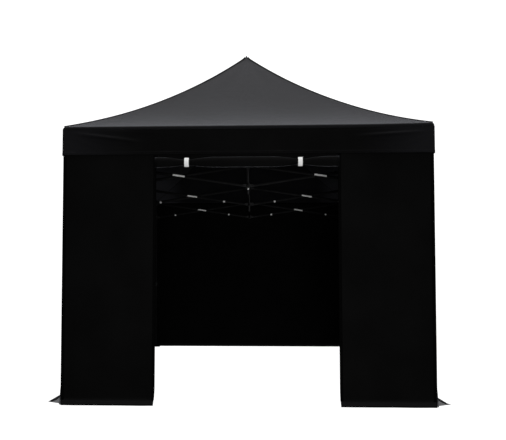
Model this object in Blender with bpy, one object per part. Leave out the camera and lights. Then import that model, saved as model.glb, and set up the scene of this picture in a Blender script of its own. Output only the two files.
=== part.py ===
"""Pop-up party tent, 3 m by 4.5 m, with its walls zipped on and the front door rolled up.

Metres, +Z up. The origin lies on the ground under the middle of the tent. The door faces -Y,
and +X is on the right of someone who walks in.
"""

import math

import bmesh
import bpy
from mathutils import Matrix, Vector

# Plan and heights of the tent
WIDTH = 3.0
DEPTH = 4.5
BAY = 1.5
EAVE_HEIGHT = 2.26
PEAK_HEIGHT = 3.40
HIP_SAG = 0.105
RIDGE_SAG = 0.02
ROOF_TIP = 0.004
MAST_Y = BAY / 2

# Cloth: roof, valance, walls, rolled door
CLOTH = 0.004
EAVE_PROUD = 0.009
VALANCE_DROP = 0.23
WALL_TOP = 2.24
FLARE_HEIGHT = 0.15
FLARE_REACH = 0.15
FLARE_AT_END = 0.012
FLARE_CURVE = 3.7
FLARE_DOWN = (0, 0.36, 0.56, 0.70, 0.82, 0.92, 1)
FLARE_STARTS = 0.05
FLARE_OPENS = 0.13
DOOR_WIDTH = 1.48
ROLL_HALF_DEPTH = 0.032
ROLL_HALF_HEIGHT = 0.045
ROLL_HEIGHT = 1.960
ROLL_SIDES = 16
HEADER_LAP = 0.006
STRAP_X = (-0.484, 0.431)
STRAP_WIDTH = 0.036
STRAP_HALF_DEPTH = 0.026
STRAP_HALF_HEIGHT = 0.0375
STRAP_CLOTH = 0.002
TIE_SPREAD = 0.07
TIE_STATIONS = (0.05, 0.10, 0.15)

# Frame: legs, masts and scissor struts
LEG = 0.040
LEG_INNER = 0.034
TUBE_WALL = 0.0015
LEG_SPLIT = 0.95
LEG_OVERLAP = 0.15
LEG_TOP = 2.225
FOOT = 0.090
FOOT_THICK = 0.005
COLLAR = 0.004
SLIDER_HEIGHT = 0.050
BRACKET_SKIRT = 0.030
MAST_RADIUS = 0.0125
MAST_FOOT = 1.93
CAP_RADIUS = 0.030
CAP_SLOPE = 1.3
CAP_SKIRT = 0.010
HUB = 0.044
HUB_HEIGHT = 0.050
STRUT_DEEP = 0.030
STRUT_THICK = 0.015
STRUT_END = 0.015
LAYER = 0.0085
UPPER_PIVOT = 2.232
LOWER_PIVOT = 2.020
PIVOT_REACH = 0.045
LUG_THICK = 0.005
LUG_END = 0.014
PIN_RADIUS = 0.004
PIN_PROUD = 0.002

# Space between touching pieces, and what a cutter reaches past them
GAP = 0.0003
CUT_PAST = 0.010

HALF_X = WIDTH / 2
HALF_Y = DEPTH / 2
EAVE_X = HALF_X + EAVE_PROUD
EAVE_Y = HALF_Y + EAVE_PROUD
WALL_INSIDE_X = HALF_X - CLOTH
WALL_INSIDE_Y = HALF_Y - CLOTH
LEG_X = WALL_INSIDE_X - GAP - COLLAR - LEG / 2
LEG_Y = WALL_INSIDE_Y - GAP - COLLAR - LEG / 2
ROLL_Y = -(LEG_Y + HUB / 2 + 4 * GAP) - ROLL_HALF_DEPTH

UP = Vector((0, 0, 1))
ACROSS = Vector((1, 0, 0))
ALONG = Vector((0, 1, 0))


def clear_scene():
    for obj in list(bpy.data.objects):
        bpy.data.objects.remove(obj, do_unlink=True)


def make_material(name, colour, roughness, metallic=0.0):
    material = bpy.data.materials.new(name)
    material.use_nodes = True
    shader = material.node_tree.nodes["Principled BSDF"]
    shader.inputs["Base Color"].default_value = (*colour, 1)
    shader.inputs["Roughness"].default_value = roughness
    shader.inputs["Metallic"].default_value = metallic
    return material


def add_object(name, mesh, material):
    obj = bpy.data.objects.new(name, mesh)
    bpy.context.scene.collection.objects.link(obj)
    mesh.materials.clear()
    mesh.materials.append(material)
    return obj


def mesh_from(shape, name):
    mesh = bpy.data.meshes.new(name)
    bmesh.ops.recalc_face_normals(shape, faces=shape.faces)
    shape.to_mesh(mesh)
    shape.free()
    return mesh


def block(low, high):
    """An upright box between two corners."""
    shape = bmesh.new()
    size = Vector(high) - Vector(low)
    place = Matrix.Translation((Vector(low) + Vector(high)) / 2) @ Matrix.Diagonal((*size, 1))
    bmesh.ops.create_cube(shape, size=1, matrix=place)
    return mesh_from(shape, "block")


def box_at(centre, size):
    half = Vector(size) / 2
    return block(Vector(centre) - half, Vector(centre) + half)


def rod(centre, axis, radius, length, sides=12):
    """A round bar with its middle at centre."""
    shape = bmesh.new()
    turn = UP.rotation_difference(axis).to_matrix().to_4x4()
    bmesh.ops.create_cone(
        shape,
        cap_ends=True,
        segments=sides,
        radius1=radius,
        radius2=radius,
        depth=length,
        matrix=Matrix.Translation(centre) @ turn,
    )
    return mesh_from(shape, "rod")


def turned(profile, centre_x, centre_y, sides=12):
    """A solid turned round an upright axis. The profile lists (radius, height), both ends on the axis."""
    shape = bmesh.new()
    points = [shape.verts.new((radius, 0, height)) for radius, height in profile]
    edges = [shape.edges.new(pair) for pair in zip(points, points[1:])]
    bmesh.ops.spin(
        shape,
        geom=points + edges,
        axis=UP,
        cent=(0, 0, 0),
        angle=2 * math.pi,
        steps=sides,
        use_duplicate=False,
    )
    bmesh.ops.remove_doubles(shape, verts=shape.verts, dist=1e-5)
    bmesh.ops.translate(shape, verts=shape.verts, vec=(centre_x, centre_y, 0))
    return mesh_from(shape, "turned")


def square_tube(centre_x, centre_y, side, wall, low, high):
    """An upright square tube, open at both ends."""
    shape = bmesh.new()
    rings = []
    for half, height in ((side / 2, low), (side / 2, high), (side / 2 - wall, high), (side / 2 - wall, low)):
        corners = ((-half, -half), (half, -half), (half, half), (-half, half))
        rings.append([shape.verts.new((centre_x + x, centre_y + y, height)) for x, y in corners])
    for ring, following in zip(rings, rings[1:] + rings[:1]):
        for k in range(4):
            shape.faces.new((ring[k], ring[k - 1], following[k - 1], following[k]))
    return mesh_from(shape, "tube")


def boolean(solids, operation):
    """The first mesh with the others joined to it or cut from it."""
    if len(solids) == 1:
        return solids[0]
    base = bpy.data.objects.new("base", solids[0])
    bpy.context.scene.collection.objects.link(base)
    others = bpy.data.collections.new("others")
    for mesh in solids[1:]:
        others.objects.link(bpy.data.objects.new("other", mesh))
    modifier = base.modifiers.new("combine", "BOOLEAN")
    modifier.operation = operation
    modifier.operand_type = "COLLECTION"
    modifier.collection = others
    graph = bpy.context.evaluated_depsgraph_get()
    result = bpy.data.meshes.new_from_object(base.evaluated_get(graph))
    for helper in (base, *others.objects):
        bpy.data.objects.remove(helper, do_unlink=True)
    bpy.data.collections.remove(others)
    return result


def joined(solids):
    return boolean(solids, "UNION")


def cut(solid, cutter):
    return boolean([solid, cutter], "DIFFERENCE")


def hip_height(along):
    """Height of a hip seam, from 0 at the leg to 1 at the mast: a cord that sags in the middle."""
    return EAVE_HEIGHT + (PEAK_HEIGHT - EAVE_HEIGHT) * along - HIP_SAG * 4 * along * (1 - along)


def sewn_panel(rows):
    """A sheet of cloth from rows of points on its upper face, each row with as many points."""
    shape = bmesh.new()
    upper = [[shape.verts.new(point) for point in row] for row in rows]
    lower = [[shape.verts.new(Vector(point) - UP * CLOTH) for point in row] for row in rows]
    last_row, last = len(rows) - 1, len(rows[0]) - 1
    for i in range(last_row):
        for k in range(last):
            for sheet in (upper, lower):
                shape.faces.new((sheet[i][k], sheet[i][k + 1], sheet[i + 1][k + 1], sheet[i + 1][k]))
    for i in (0, last_row):
        for k in range(last):
            shape.faces.new((upper[i][k], upper[i][k + 1], lower[i][k + 1], lower[i][k]))
    for k in (0, last):
        for i in range(last_row):
            shape.faces.new((upper[i][k], upper[i + 1][k], lower[i + 1][k], lower[i][k]))
    return mesh_from(shape, "panel")


def end_roof_panel(facing):
    """The triangle between two hips, over the front (facing -1) or the rear (facing 1)."""
    steps = 10
    seam = GAP * math.sqrt(0.5)
    rows = []
    for i in range(steps + 1):
        along = (1 - ROOF_TIP / EAVE_X) * i / steps
        half = EAVE_X * (1 - along) - seam
        y = facing * (EAVE_Y - EAVE_X * along)
        rows.append([(half * side, y, hip_height(along)) for side in (-1, -0.5, 0, 0.5, 1)])
    return sewn_panel(rows)


def side_roof_panel(facing):
    """The long panel between the ridge and the left (facing -1) or right eave."""
    steps = 10
    columns = 8
    seam = GAP * math.sqrt(0.5)
    rows = []
    for i in range(steps + 1):
        along = i / steps
        x = facing * max(EAVE_X * (1 - along), GAP / 2)
        half = EAVE_Y - EAVE_X * along - seam
        row = []
        for k in range(columns + 1):
            across = 2 * k / columns - 1
            dip = RIDGE_SAG * along**3 * (1 - across**2)
            row.append((x, half * across, hip_height(along) - dip))
        rows.append(row)
    return sewn_panel(rows)


def build_roof():
    for facing, end, side in ((-1, "front", "left"), (1, "rear", "right")):
        add_object(f"roof_{end}", end_roof_panel(facing), ROOF_CLOTH)
        add_object(f"roof_{side}", side_roof_panel(facing), ROOF_CLOTH)


def build_valance():
    low = EAVE_HEIGHT - VALANCE_DROP
    high = EAVE_HEIGHT - CLOTH - GAP
    end_half = EAVE_X - CLOTH - GAP
    for facing, end, side in ((-1, "front", "left"), (1, "rear", "right")):
        face = sorted((facing * EAVE_Y, facing * (EAVE_Y - CLOTH)))
        add_object(f"valance_{end}", block((-end_half, face[0], low), (end_half, face[1], high)), WALL_CLOTH)
        face = sorted((facing * EAVE_X, facing * (EAVE_X - CLOTH)))
        add_object(f"valance_{side}", block((face[0], -EAVE_Y, low), (face[1], EAVE_Y, high)), WALL_CLOTH)


def build_front_and_rear_walls():
    outer = WALL_INSIDE_X - GAP
    opening = DOOR_WIDTH / 2
    front = (-HALF_Y, -WALL_INSIDE_Y)
    add_object("front_wall_left", block((-outer, front[0], 0), (-opening, front[1], WALL_TOP)), WALL_CLOTH)
    add_object("front_wall_right", block((opening, front[0], 0), (outer, front[1], WALL_TOP)), WALL_CLOTH)
    add_object("rear_wall", block((-outer, WALL_INSIDE_Y, 0), (outer, HALF_Y, WALL_TOP)), WALL_CLOTH)


def side_wall_section(facing, along, reach):
    """The wall's outline at one place along it. Its foot sweeps out by reach and meets the ground."""
    outside = []
    for down in FLARE_DOWN:
        outside.append((HALF_X + reach * down**FLARE_CURVE, FLARE_HEIGHT * (1 - down)))
    inside = [(x - CLOTH, height) for x, height in outside]
    inside[-1] = (outside[-1][0] - 2 * CLOTH, 0)
    outline = [(HALF_X, WALL_TOP), *outside, *reversed(inside), (WALL_INSIDE_X, WALL_TOP)]
    return [(facing * x, along, z) for x, z in outline]


def side_wall(facing):
    """A curtain that is straight at its zipped ends. Between them its foot flares onto the ground.

    Both faces of the cloth are split along the same diagonals, so they stay apart where it twists."""
    shape = bmesh.new()
    rings = []
    for end in (-1, 1):
        stations = [(0, FLARE_AT_END), (FLARE_STARTS, FLARE_AT_END), (FLARE_OPENS, FLARE_REACH)]
        for from_end, reach in stations if end < 0 else reversed(stations):
            section = side_wall_section(facing, end * (HALF_Y - from_end), reach)
            rings.append([shape.verts.new(point) for point in section])
    count = len(rings[0])
    for ring, following in zip(rings, rings[1:]):
        for k in range(count):
            corners = (ring[k - 1], ring[k], following[k], following[k - 1])
            first = 0 if k < count // 2 else 1
            shape.faces.new(corners[first : first + 3])
            shape.faces.new((corners[first + 2], corners[first - 1], corners[first]))
    shape.faces.new(rings[0])
    shape.faces.new(rings[-1])
    return mesh_from(shape, "side_wall")


def build_side_walls():
    add_object("left_wall", side_wall(-1), WALL_CLOTH)
    add_object("right_wall", side_wall(1), WALL_CLOTH)


def roll_ring(x, half_depth, half_height):
    """Points round an oval section of the roll or of a strap."""
    points = []
    for k in range(ROLL_SIDES):
        turn = 2 * math.pi * k / ROLL_SIDES
        y = ROLL_Y + half_depth * math.cos(turn)
        points.append((x, y, ROLL_HEIGHT + half_height * math.sin(turn)))
    return points


def roll_halves(x):
    """Half the depth and height of the rolled door, which is thinner where a strap ties it."""
    squeeze = sum(math.exp(-(((x - strap) / TIE_SPREAD) ** 2)) for strap in STRAP_X)
    skin = STRAP_CLOTH + GAP
    depth = ROLL_HALF_DEPTH - (ROLL_HALF_DEPTH - STRAP_HALF_DEPTH + skin) * squeeze
    height = ROLL_HALF_HEIGHT - (ROLL_HALF_HEIGHT - STRAP_HALF_HEIGHT + skin) * squeeze
    return depth, height


def rolled_door():
    """The door panel, rolled up outwards from its hem, with the cloth that it hangs from behind it."""
    half = DOOR_WIDTH / 2 - GAP
    stations = {-half, 0, half}
    for shift in (0, STRAP_WIDTH / 2, *TIE_STATIONS):
        stations.update(strap + side * shift for strap in STRAP_X for side in (-1, 1))
    shape = bmesh.new()
    rings = []
    for x in sorted(stations):
        near = min(STRAP_X, key=lambda strap: abs(strap - x))
        tied = abs(x - near) < STRAP_WIDTH
        section = roll_ring(x, *roll_halves(near if tied else x))
        rings.append([shape.verts.new(point) for point in section])
    for ring, following in zip(rings, rings[1:]):
        for k in range(ROLL_SIDES):
            shape.faces.new((ring[k], ring[k - 1], following[k - 1], following[k]))
    shape.faces.new(rings[0])
    shape.faces.new(rings[-1])
    roll = mesh_from(shape, "roll")
    edge = half - CLOTH
    header = block((-edge, -HALF_Y, ROLL_HEIGHT - HEADER_LAP), (edge, -WALL_INSIDE_Y, WALL_TOP))
    return [roll, header]


def strap_ring(x):
    """A closed loop of webbing tied round the roll, in front of the cloth that carries it."""
    inner = (STRAP_HALF_DEPTH - STRAP_CLOTH, STRAP_HALF_HEIGHT - STRAP_CLOTH)
    outer = (STRAP_HALF_DEPTH, STRAP_HALF_HEIGHT)
    half = STRAP_WIDTH / 2
    loops = ((x - half, inner), (x - half, outer), (x + half, outer), (x + half, inner))
    shape = bmesh.new()
    rings = [[shape.verts.new(point) for point in roll_ring(place, *halves)] for place, halves in loops]
    for ring, following in zip(rings, rings[1:] + rings[:1]):
        for k in range(ROLL_SIDES):
            shape.faces.new((ring[k], ring[k - 1], following[k - 1], following[k]))
    return mesh_from(shape, "strap")


def build_door():
    add_object("door_roll", joined(rolled_door()), WALL_CLOTH)
    for x, side in zip(STRAP_X, ("left", "right")):
        add_object(f"door_strap_{side}", strap_ring(x), STRAP_WHITE)


def lugs(centre, out, layer):
    """Two plates that hold one strut's end: centre is the hub's, out points along the truss."""
    across = out.cross(UP)
    across = ACROSS if abs(across.x) > 0.5 else ALONG
    near = layer * (LAYER - STRUT_THICK / 2 - GAP)
    far = layer * (LAYER + STRUT_THICK / 2 + GAP)
    plates = []
    for face, thick in ((near, -LUG_THICK), (far, LUG_THICK)):
        middle = centre + across * (face + layer * thick / 2) + out * (PIVOT_REACH + LUG_END) / 2
        long_side = PIVOT_REACH + LUG_END
        size = across * LUG_THICK + UP * STRUT_DEEP
        size = Vector((abs(size.x), abs(size.y), abs(size.z))) + Vector((abs(out.x), abs(out.y), 0)) * long_side
        plates.append(box_at(middle, size))
    return plates


def layer_of(direction, upper):
    """The strut that falls towards +X or +Y lies in the layer on the low side, the other behind it."""
    towards_high = direction.x + direction.y > 0
    return -1 if towards_high == upper else 1


def scissor(start, end, fused_ends=()):
    """Two crossed struts between two posts or hubs, with the pin at their crossing."""
    run = (end - start).normalized()
    across = ALONG if abs(run.x) > 0.5 else ACROSS
    first = start + run * PIVOT_REACH
    last = end - run * PIVOT_REACH
    span = (last - first).length
    rise = UPPER_PIVOT - LOWER_PIVOT
    length = math.hypot(span, rise) + 2 * STRUT_END
    crossing = (first + last) / 2 + UP * (UPPER_PIVOT + LOWER_PIVOT) / 2
    solids = []
    for layer in (-1, 1):
        slope = Vector((run.x * span, run.y * span, layer * rise)).normalized()
        frame = Matrix((slope, across, slope.cross(across))).transposed().to_4x4()
        shape = bmesh.new()
        size = Matrix.Diagonal((length, STRUT_THICK, STRUT_DEEP, 1))
        place = Matrix.Translation(crossing + across * layer * LAYER) @ frame @ size
        bmesh.ops.create_cube(shape, size=1, matrix=place)
        solids.append(mesh_from(shape, "strut"))
    solids.append(rod(crossing, across, PIN_RADIUS, 2 * (LAYER + STRUT_THICK / 2 + PIN_PROUD)))
    for place, out in fused_ends:
        for height, upper in ((UPPER_PIVOT, True), (LOWER_PIVOT, False)):
            layer = layer_of(out, upper)
            pin = place + out * PIVOT_REACH + across * layer * LAYER + UP * height
            solids.append(rod(pin, across, PIN_RADIUS, STRUT_THICK + 2 * LUG_THICK))
    return solids


def hub_pair(place, directions):
    """The upper and lower hubs of a joint between struts, with lugs towards each direction."""
    solids = []
    for height, upper in ((UPPER_PIVOT, True), (LOWER_PIVOT, False)):
        centre = place + UP * height
        solids.append(box_at(centre, (HUB, HUB, HUB_HEIGHT)))
        for out in directions:
            solids += lugs(centre, out, layer_of(out, upper))
    return solids


def edge_truss(name, posts, inward):
    """A truss along one side of the tent, between two legs, with its own hubs between its bays."""
    solids = []
    run = (posts[-1] - posts[0]).normalized()
    for i, (start, end) in enumerate(zip(posts, posts[1:])):
        fused = []
        if i > 0:
            fused.append((start, run))
        if i < len(posts) - 2:
            fused.append((end, -run))
        solids += scissor(start, end, fused)
    for place in posts[1:-1]:
        solids += hub_pair(place, (run, -run, inward))
    add_object(name, joined(solids), COATED_STEEL)


def build_trusses():
    for facing, end in ((-1, "front"), (1, "rear")):
        y = facing * LEG_Y
        edge_truss(f"{end}_truss", [Vector((x, y, 0)) for x in (-LEG_X, 0, LEG_X)], ALONG * -facing)
    for facing, side in ((-1, "left"), (1, "right")):
        x = facing * LEG_X
        places = [Vector((x, y, 0)) for y in (-LEG_Y, -MAST_Y, MAST_Y, LEG_Y)]
        edge_truss(f"{side}_truss", places, ACROSS * -facing)
    for y, end in ((-MAST_Y, "front"), (MAST_Y, "rear")):
        left, middle, right = (Vector((x, y, 0)) for x in (-LEG_X, 0, LEG_X))
        add_object(f"cross_truss_{end}_left", joined(scissor(left, middle)), COATED_STEEL)
        add_object(f"cross_truss_{end}_right", joined(scissor(middle, right)), COATED_STEEL)
    stops = [Vector((0, y, 0)) for y in (-LEG_Y, -MAST_Y, MAST_Y, LEG_Y)]
    for start, end, where in zip(stops, stops[1:], ("front", "middle", "rear")):
        add_object(f"ridge_truss_{where}", joined(scissor(start, end)), COATED_STEEL)


def build_legs():
    for y_side, end in ((-1, "front"), (1, "rear")):
        for x_side, side in ((-1, "left"), (1, "right")):
            build_leg(x_side, y_side, f"{end}_{side}")


def build_leg(x_side, y_side, where):
    x = x_side * LEG_X
    y = y_side * LEG_Y
    add_object(f"leg_upper_{where}", square_tube(x, y, LEG, TUBE_WALL, LEG_SPLIT, LEG_TOP), COATED_STEEL)
    inner = square_tube(x, y, LEG_INNER, TUBE_WALL, FOOT_THICK / 2, LEG_SPLIT + LEG_OVERLAP)
    edge = LEG / 2 + COLLAR
    corners = [
        sorted((side * (place + edge), side * (place + edge - FOOT)))
        for side, place in ((x_side, LEG_X), (y_side, LEG_Y))
    ]
    foot = block((corners[0][0], corners[1][0], 0), (corners[0][1], corners[1][1], FOOT_THICK))
    add_object(f"leg_lower_{where}", joined([inner, foot]), COATED_STEEL)

    around = LEG + 2 * COLLAR
    post = Vector((x, y, 0))
    inward = (ACROSS * -x_side, ALONG * -y_side)
    sleeve = box_at(post + UP * LOWER_PIVOT, (around, around, SLIDER_HEIGHT))
    bore = box_at(post + UP * LOWER_PIVOT, (LEG + 2 * GAP, LEG + 2 * GAP, 2 * SLIDER_HEIGHT))
    solids = [sleeve]
    for out in inward:
        solids += lugs(post + UP * LOWER_PIVOT, out, layer_of(out, False))
    add_object(f"slider_{where}", cut(joined(solids), bore), PLASTIC)

    along = (EAVE_X - (LEG_X + around / 2)) / EAVE_X
    top = hip_height(along) - CLOTH - GAP
    low = LEG_TOP - BRACKET_SKIRT
    cap = block((x - around / 2, y - around / 2, low), (x + around / 2, y + around / 2, top))
    solids = [cap]
    for out in inward:
        solids += lugs(post + UP * UPPER_PIVOT, out, layer_of(out, True))
    half = LEG / 2 + GAP
    socket = block((x - half, y - half, low - CUT_PAST), (x + half, y + half, LEG_TOP + GAP))
    add_object(f"top_bracket_{where}", cut(joined(solids), socket), PLASTIC)


def build_masts():
    tip = PEAK_HEIGHT - CLOTH - 2 * GAP
    cap_low = tip - CAP_SLOPE * CAP_RADIUS
    for y, end in ((-MAST_Y, "front"), (MAST_Y, "rear")):
        profile = [
            (0, MAST_FOOT),
            (MAST_RADIUS, MAST_FOOT),
            (MAST_RADIUS, cap_low - CAP_SKIRT),
            (CAP_RADIUS, cap_low - CAP_SKIRT),
            (CAP_RADIUS, cap_low),
            (0, tip),
        ]
        add_object(f"mast_{end}", turned(profile, 0, y), COATED_STEEL)
        arms = (ACROSS, -ACROSS, ALONG, -ALONG)
        for height, upper, where in ((UPPER_PIVOT, True, "upper"), (LOWER_PIVOT, False, "lower")):
            centre = Vector((0, y, height))
            solids = [box_at(centre, (HUB, HUB, HUB_HEIGHT))]
            for out in arms:
                solids += lugs(centre, out, layer_of(out, upper))
            bore = rod(centre, UP, MAST_RADIUS + GAP, 2 * HUB_HEIGHT)
            add_object(f"mast_hub_{where}_{end}", cut(joined(solids), bore), PLASTIC)


clear_scene()
ROOF_CLOTH = make_material("black_roof_polyester", (0.055, 0.055, 0.058), 0.6)
WALL_CLOTH = make_material("black_wall_polyester", (0.006, 0.006, 0.006), 0.75)
STRAP_WHITE = make_material("white_webbing", (0.8, 0.8, 0.8), 0.7)
COATED_STEEL = make_material("black_powder_coated_steel", (0.012, 0.012, 0.012), 0.45)
PLASTIC = make_material("black_nylon", (0.015, 0.015, 0.015), 0.5)

build_roof()
build_valance()
build_front_and_rear_walls()
build_side_walls()
build_door()
build_legs()
build_masts()
build_trusses()
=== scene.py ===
"""The looks of the pop-up party tent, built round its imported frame.

Metres, +Z up. The door faces -Y, and +X is on the right of someone who walks in.
"""

import math

import bmesh
import bpy
import numpy as np
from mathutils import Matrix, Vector


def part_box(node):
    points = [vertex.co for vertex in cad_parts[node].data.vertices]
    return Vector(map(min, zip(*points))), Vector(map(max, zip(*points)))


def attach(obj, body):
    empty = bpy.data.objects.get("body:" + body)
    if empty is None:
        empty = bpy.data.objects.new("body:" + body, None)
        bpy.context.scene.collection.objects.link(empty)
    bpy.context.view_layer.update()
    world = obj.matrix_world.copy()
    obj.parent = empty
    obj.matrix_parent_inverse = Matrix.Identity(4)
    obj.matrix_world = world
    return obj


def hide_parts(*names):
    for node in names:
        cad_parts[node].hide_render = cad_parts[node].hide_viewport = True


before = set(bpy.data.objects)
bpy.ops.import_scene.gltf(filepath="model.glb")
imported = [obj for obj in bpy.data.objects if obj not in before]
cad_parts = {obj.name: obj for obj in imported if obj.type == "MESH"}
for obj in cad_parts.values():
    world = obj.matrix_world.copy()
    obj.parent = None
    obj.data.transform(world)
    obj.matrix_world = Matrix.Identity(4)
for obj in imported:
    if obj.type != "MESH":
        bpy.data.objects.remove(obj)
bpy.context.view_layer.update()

# Legs
# A leg is a 40 mm square steel tube with a 34 mm one that slides inside it, both roll-formed with
# round corners and powder-coated black. The inner one is welded to a foot plate with two holes
# for ground pegs, and a moulded nylon collar with a push button locks the height.

ACROSS = Vector((1, 0, 0))
ALONG = Vector((0, 1, 0))
UP = Vector((0, 0, 1))
TUBE_HALF = 0.020
INNER_HALF = 0.017
TUBE_WALL = 0.0015
TUBE_CORNER = 0.005
GAP = 0.0003
EASE = 0.0015
FOOT_THICK = 0.005
FOOT_CORNER = 0.010
PEG_HOLE = 0.006
PEG_NEAR = 0.024
PEG_FAR = 0.070
WELD = 0.004
COLLAR_HALF = TUBE_HALF + 0.0035
COLLAR_CORNER = 0.007
COLLAR_RIM = 0.002
COLLAR_BELOW = 0.012
COLLAR_HIGH = 0.062
BUTTON_RADIUS = 0.008
BUTTON_HIGH = 0.004


def linear(hex_colour):
    """An sRGB hex colour as the linear colour that a shader takes."""
    parts = [int(hex_colour[i : i + 2], 16) / 255 for i in (1, 3, 5)]
    return (*(c / 12.92 if c <= 0.04045 else ((c + 0.055) / 1.055) ** 2.4 for c in parts), 1)


def add_node(tree, kind, inputs=(), **settings):
    """A shader node with its settings. Each input is a value or the socket that feeds it.

    The kind is the node's type in Blender, whose name has ShaderNode before it."""
    node = tree.nodes.new("ShaderNode" + kind)
    for name, value in settings.items():
        setattr(node, name, value)
    for socket, value in dict(inputs).items():
        if isinstance(value, bpy.types.NodeSocket):
            tree.links.new(value, node.inputs[socket])
        else:
            node.inputs[socket].default_value = value
    return node


def empty_material(name):
    """A bare material, its node tree, and the sockets of the places on its piece."""
    material = bpy.data.materials.new(name)
    material.use_nodes = True
    tree = material.node_tree
    tree.nodes.clear()
    return material, tree, add_node(tree, "TexCoord").outputs


def add_surface(tree, colour, coats, reliefs, finish):
    """Ends a material: a colour with coats of others over it, reliefs, and the shader.

    A coat is the socket that says where it shows, and its colour. A relief is the socket of its
    height, its strength and its depth in metres."""
    tone = linear(colour)
    for level, coat in coats:
        tones = {0: level, 6: tone, 7: linear(coat)}
        tone = add_node(tree, "Mix", tones, data_type="RGBA").outputs[2]
    normal = {}
    for height, strength, distance in reliefs:
        relief = {"Height": height, "Strength": strength, "Distance": distance, **normal}
        normal = {"Normal": add_node(tree, "Bump", relief).outputs["Normal"]}
    shader = add_node(tree, "BsdfPrincipled", {"Base Color": tone, **normal, **finish})
    add_node(tree, "OutputMaterial", {"Surface": shader.outputs["BSDF"]})


def powder_coated_steel(name, dark, light, shine):
    """Baked polyester powder: a low gloss with fine orange peel, a little duller where dusty."""
    material, tree, places = empty_material(name)
    room = places["Object"]
    # Orange peel is about 2 mm from crest to crest.
    peel = add_node(tree, "TexNoise", {"Vector": room, "Scale": 400, "Detail": 2}).outputs["Fac"]
    dust = add_node(tree, "TexNoise", {"Vector": room, "Scale": 9, "Detail": 6}).outputs["Fac"]
    spread = {"Value": dust, "From Min": 0.3, "From Max": 0.7, "To Min": 0.42, "To Max": 0.56}
    gloss = add_node(tree, "MapRange", spread).outputs["Result"]
    finish = {"Roughness": gloss, "Specular IOR Level": shine}
    add_surface(tree, dark, [(dust, light)], [(peel, 0.3, 0.0003)], finish)
    return material


def moulded_nylon():
    """Glass-filled nylon from a spark-eroded mould: black and satin, with a fine even grain."""
    material, tree, places = empty_material("moulded_nylon")
    room = places["Object"]
    # The grain of the mould is about 1 mm.
    grain = add_node(tree, "TexVoronoi", {"Vector": room, "Scale": 900}).outputs["Distance"]
    cloud = add_node(tree, "TexNoise", {"Vector": room, "Scale": 20, "Detail": 4}).outputs["Fac"]
    finish = {"Roughness": 0.55, "Specular IOR Level": 0.25}
    add_surface(tree, "#060607", [(cloud, "#0e0e10")], [(grain, 0.3, 0.0003)], finish)
    return material


def corner_name(x_side, y_side):
    return ("front" if y_side < 0 else "rear") + ("_left" if x_side < 0 else "_right")


def middle_of(node):
    return [(low + high) / 2 for low, high in zip(*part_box(node))]


def placed(centre, first, second, third):
    """Turns distances along three directions from a centre into a place."""

    def place(a, b, c):
        return tuple(centre + first * a + second * b + third * c)

    return place


def upright(centre_x, centre_y):
    return placed(Vector((centre_x, centre_y, 0)), ACROSS, ALONG, UP)


def round_rectangle(half_x, half_y, corner, steps=4):
    """Points round a rectangle with round corners, anticlockwise."""
    points = []
    for quarter, (x_side, y_side) in enumerate(((1, 1), (-1, 1), (-1, -1), (1, -1))):
        for k in range(steps + 1):
            turn = math.pi / 2 * (quarter + k / steps)
            x = x_side * (half_x - corner) + corner * math.cos(turn)
            points.append((x, y_side * (half_y - corner) + corner * math.sin(turn)))
    return points


def round_square(half, corner):
    return round_rectangle(half, half, corner)


def circle(centre_a, centre_b, radius, sides=20):
    turns = [2 * math.pi * k / sides for k in range(sides)]
    return [(centre_a + radius * math.cos(t), centre_b + radius * math.sin(t)) for t in turns]


def stacked(levels, place, loop=False):
    """Points and faces of a skin over outlines at given heights, with its ends capped or joined."""
    count = len(levels[0][0])
    points = [place(a, b, height) for outline, height in levels for a, b in outline]
    pairs = list(zip(range(len(levels)), range(1, len(levels))))
    if loop:
        pairs.append((len(levels) - 1, 0))
    faces = []
    for i, j in pairs:
        for k in range(count):
            after = (k + 1) % count
            faces.append((i * count + k, i * count + after, j * count + after, j * count + k))
    if not loop:
        faces.append(tuple(range(count))[::-1])
        faces.append(tuple(range(len(points) - count, len(points))))
    return points, faces


def prism(outline, place, low, high, bevel=0.0008):
    """A convex outline raised from low to high, with both rims eased."""
    centre = np.mean(outline, axis=0)
    reach = max(math.dist(centre, point) for point in outline)
    inset = [tuple(centre + (np.array(p) - centre) * (1 - bevel / reach)) for p in outline]
    levels = [(inset, low), (outline, low + bevel), (outline, high - bevel), (inset, high)]
    return stacked(levels, place)


def joined_mesh(shapes):
    """One mesh from several closed shapes, each a pair of points and faces."""
    mesh = bpy.data.meshes.new("piece")
    points, faces = [], []
    for shape_points, shape_faces in shapes:
        faces += [tuple(i + len(points) for i in face) for face in shape_faces]
        points += shape_points
    mesh.from_pydata(points, [], faces)
    work = bmesh.new()
    work.from_mesh(mesh)
    bmesh.ops.recalc_face_normals(work, faces=work.faces)
    work.to_mesh(mesh)
    work.free()
    return mesh


def add_piece(name, mesh, finish, stands_for=(), sharp=35):
    """Names the piece, gives it its material, and lets it ride on the tent."""
    material, slot = finish
    mesh.name = name
    mesh.materials.append(material)
    mesh.shade_smooth()
    mesh.set_sharp_from_angle(angle=math.radians(sharp))
    piece = bpy.data.objects.new(name, mesh)
    bpy.context.scene.collection.objects.link(piece)
    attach(piece, "root")
    if stands_for:
        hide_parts(*stands_for)
    return piece


def square_tube(x, y, half, corner, low, high):
    outer = round_square(half, corner)
    inner = round_square(half - TUBE_WALL, corner - TUBE_WALL)
    ends = [(outer, low), (outer, high), (inner, high), (inner, low)]
    return stacked(ends, upright(x, y), loop=True)


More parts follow.
